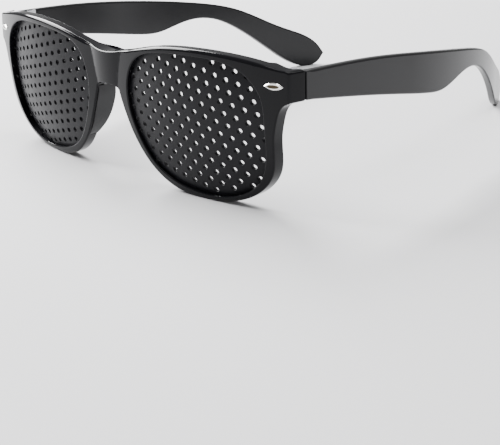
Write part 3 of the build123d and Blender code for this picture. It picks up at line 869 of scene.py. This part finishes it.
BROAD_SHARE = 12           # how many times coarser the broad pattern is than the fine one
BROAD_DETAIL, FINE_DETAIL = 4.0, 3.0
SPECK_LIFT, GRAIN_DEPTH = 0.002, 0.00005


def material(name, color, rough, metallic=0.0, speck=0.0, bump=0.0, scale=900.0, ior=1.47):
    """A finish whose tone and polish drift over the piece, with a fine grain in its surface."""
    mat = bpy.data.materials.new(name)
    mat.use_nodes = True
    nt = mat.node_tree
    bsdf = nt.nodes["Principled BSDF"]
    bsdf.inputs["Metallic"].default_value = metallic
    bsdf.inputs["IOR"].default_value = ior
    tc = nt.nodes.new("ShaderNodeTexCoord")
    broad = nt.nodes.new("ShaderNodeTexNoise")
    broad.inputs["Scale"].default_value = scale / BROAD_SHARE
    broad.inputs["Detail"].default_value = BROAD_DETAIL
    fine = nt.nodes.new("ShaderNodeTexNoise")
    fine.inputs["Scale"].default_value = scale
    fine.inputs["Detail"].default_value = FINE_DETAIL
    nt.links.new(tc.outputs["Object"], broad.inputs["Vector"])
    nt.links.new(tc.outputs["Object"], fine.inputs["Vector"])
    ramp = nt.nodes.new("ShaderNodeMix")
    ramp.data_type = "RGBA"
    pale = [min(1, c * (1 + speck) + speck * SPECK_LIFT) for c in color]
    ramp.inputs["A"].default_value = (*[c * (1 - speck) for c in color], 1)
    ramp.inputs["B"].default_value = (*pale, 1)
    nt.links.new(broad.outputs["Fac"], ramp.inputs["Factor"])
    nt.links.new(ramp.outputs["Result"], bsdf.inputs["Base Color"])
    rr = nt.nodes.new("ShaderNodeMapRange")
    rr.inputs["To Min"].default_value, rr.inputs["To Max"].default_value = rough
    nt.links.new(broad.outputs["Fac"], rr.inputs["Value"])
    nt.links.new(rr.outputs["Result"], bsdf.inputs["Roughness"])
    bp = nt.nodes.new("ShaderNodeBump")
    bp.inputs["Strength"].default_value = bump
    bp.inputs["Distance"].default_value = GRAIN_DEPTH
    nt.links.new(fine.outputs["Fac"], bp.inputs["Height"])
    nt.links.new(bp.outputs["Normal"], bsdf.inputs["Normal"])
    return mat


gloss = material(
    "frame_gloss_black", (0.003, 0.003, 0.004), (0.05, 0.1),
    speck=0.25, bump=0.02, scale=500, ior=1.24,
)
arm = material(
    "temple_gloss_black", (0.010, 0.010, 0.011), (0.16, 0.24),
    speck=0.25, bump=0.03, scale=500, ior=1.33,
)
satin = material(
    "plate_satin_black", (0.004, 0.004, 0.0055), (0.36, 0.46),
    speck=0.3, bump=0.2, scale=2600, ior=1.26,
)
padm = material(
    "pad_satin_black", (0.006, 0.006, 0.007), (0.28, 0.38),
    speck=0.2, bump=0.08, scale=900, ior=1.32,
)
silver = material(
    "rivet_silver", (0.86, 0.85, 0.82), (0.08, 0.18),
    1.0, speck=0.06, bump=0.03, scale=700,
)
steel = material(
    "hinge_steel", (0.55, 0.55, 0.57), (0.25, 0.4),
    1.0, speck=0.12, bump=0.12, scale=1500,
)


SLOT_L_SHARE, SLOT_H_SHARE = 0.32, 0.26     # half the slot, as shares of the rivet
SLOT_EDGE = (0.85, 1.05)                    # where the darker colour ends, in slot halves
# the darker colour painted inside the rivet's slot
SLOT_DARK_COLOR = (0.045, 0.035, 0.022, 1)


def darken_slot(mat, centre, half_l, half_h):
    """A darker colour painted inside the rivet's almond slot."""
    nt = mat.node_tree
    bsdf = nt.nodes["Principled BSDF"]
    tc = nt.nodes.new("ShaderNodeTexCoord")
    mp = nt.nodes.new("ShaderNodeMapping")
    mp.vector_type = "TEXTURE"
    mp.inputs["Location"].default_value = centre
    mp.inputs["Scale"].default_value = (half_l, 1.0, half_h)
    length = nt.nodes.new("ShaderNodeVectorMath")
    length.operation = "LENGTH"
    edge = nt.nodes.new("ShaderNodeMapRange")
    edge.inputs["From Min"].default_value, edge.inputs["From Max"].default_value = SLOT_EDGE
    mix = nt.nodes.new("ShaderNodeMix")
    mix.data_type = "RGBA"
    # the inside of the slot takes the darker colour
    mix.inputs["A"].default_value = SLOT_DARK_COLOR
    old = bsdf.inputs["Base Color"].links[0].from_socket
    nt.links.new(tc.outputs["Object"], mp.inputs["Vector"])
    nt.links.new(mp.outputs["Vector"], length.inputs[0])
    nt.links.new(length.outputs["Value"], edge.inputs["Value"])
    nt.links.new(edge.outputs["Result"], mix.inputs["Factor"])
    nt.links.new(old, mix.inputs["B"])
    nt.links.new(mix.outputs["Result"], bsdf.inputs["Base Color"])


def paint(ob, mat):
    """Give a piece one finish all over."""
    if not ob.material_slots:
        ob.data.materials.append(mat)
    for s in ob.material_slots:
        s.material = mat


paint(front, gloss)
for side in ("left", "right"):
    paint(bpy.data.objects[side + "_temple_shell"], arm)
    paint(bpy.data.objects[side + "_plate_shell"], satin)
    paint(bpy.data.objects[side + "_nose_pad"], padm)
    rivet_metal = silver.copy()
    rivet_metal.name = side + "_rivet_silver"
    lo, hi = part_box(side + "_rivet")
    at = [(lo[k] + hi[k]) / 2 for k in range(3)]
    half_slot = (RIVET_L * SLOT_L_SHARE * MM, RIVET_H * SLOT_H_SHARE * MM)
    darken_slot(rivet_metal, (at[0], 0, at[2]), *half_slot)
    paint(bpy.data.objects[side + "_rivet"], rivet_metal)
    for part in ("front_hinge", "temple_hinge", "hinge_screw"):
        paint(bpy.data.objects[side + "_" + part], steel)


# floor and light

FLOOR_REACH = 9.0


def floor():
    """A plain pale floor under the glasses."""
    alone()
    bpy.ops.mesh.primitive_plane_add(size=2 * FLOOR_REACH, location=(0, 0, 0))
    ob = bpy.context.object
    ob.name = ob.data.name = "floor"
    ob.data.materials.append(
        material("floor_white", (0.6, 0.6, 0.61), (0.75, 0.85), speck=0.01, bump=0.0, scale=30)
    )


floor()


def soft_light(name, at, size, power):
    """A softbox that looks at the glasses."""
    data = bpy.data.lights.new(name, "AREA")
    data.shape = "RECTANGLE"
    data.size, data.size_y = size
    data.energy = power
    ob = bpy.data.objects.new(name, data)
    bpy.context.scene.collection.objects.link(ob)
    ob.location = at
    ob.rotation_euler = (Vector(LIGHT_AIM) - Vector(at)).to_track_quat("-Z", "Y").to_euler()


# places and sizes in metres, and power in watts
LIGHT_AIM = (0, 0, 0.03)
soft_light("left_key", at=(-0.82, -0.04, 0.66), size=(1.15, 0.5), power=58)
soft_light("top_fill", at=(0.2, 0.1, 1.1), size=(1.0, 0.8), power=14)
WORLD_STRENGTH = 0.5
world = bpy.data.worlds.new("studio")
bpy.context.scene.world = world
world.use_nodes = True
world.node_tree.nodes["Background"].inputs["Color"].default_value = (1, 1, 1, 1)
world.node_tree.nodes["Background"].inputs["Strength"].default_value = WORLD_STRENGTH
